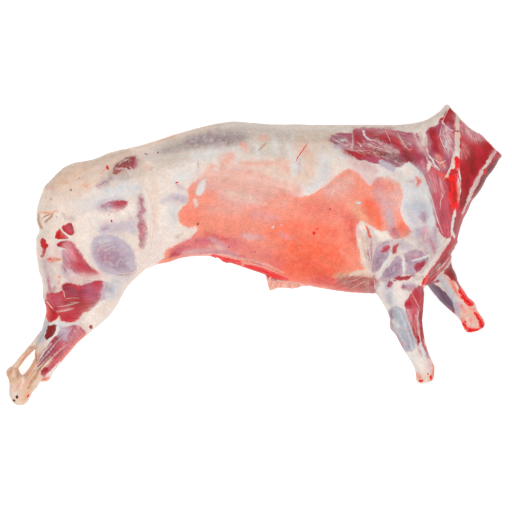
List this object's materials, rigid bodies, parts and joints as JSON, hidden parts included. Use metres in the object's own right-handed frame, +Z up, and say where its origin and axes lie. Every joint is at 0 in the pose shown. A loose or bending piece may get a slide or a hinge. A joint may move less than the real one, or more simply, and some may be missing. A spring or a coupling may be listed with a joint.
{
  "type": "whole goat carcass",
  "caption": "Whole skinned goat carcass without head or feet, lying on its left side, with a slot behind each hock for a hanging hook.",
  "frame": {"origin": "on the floor, under the middle of the outline", "axes": "+X from the hind legs to the neck, +Y from the belly to the back, +Z up, from the left side to the right side"},
  "size_m": [0.8922, 0.5398, 0.1865],
  "materials": {
    "flesh": "moist satin"
  },
  "bodies": {
    "root": {"carcass": "flesh"}
  },
  "joints": []
}
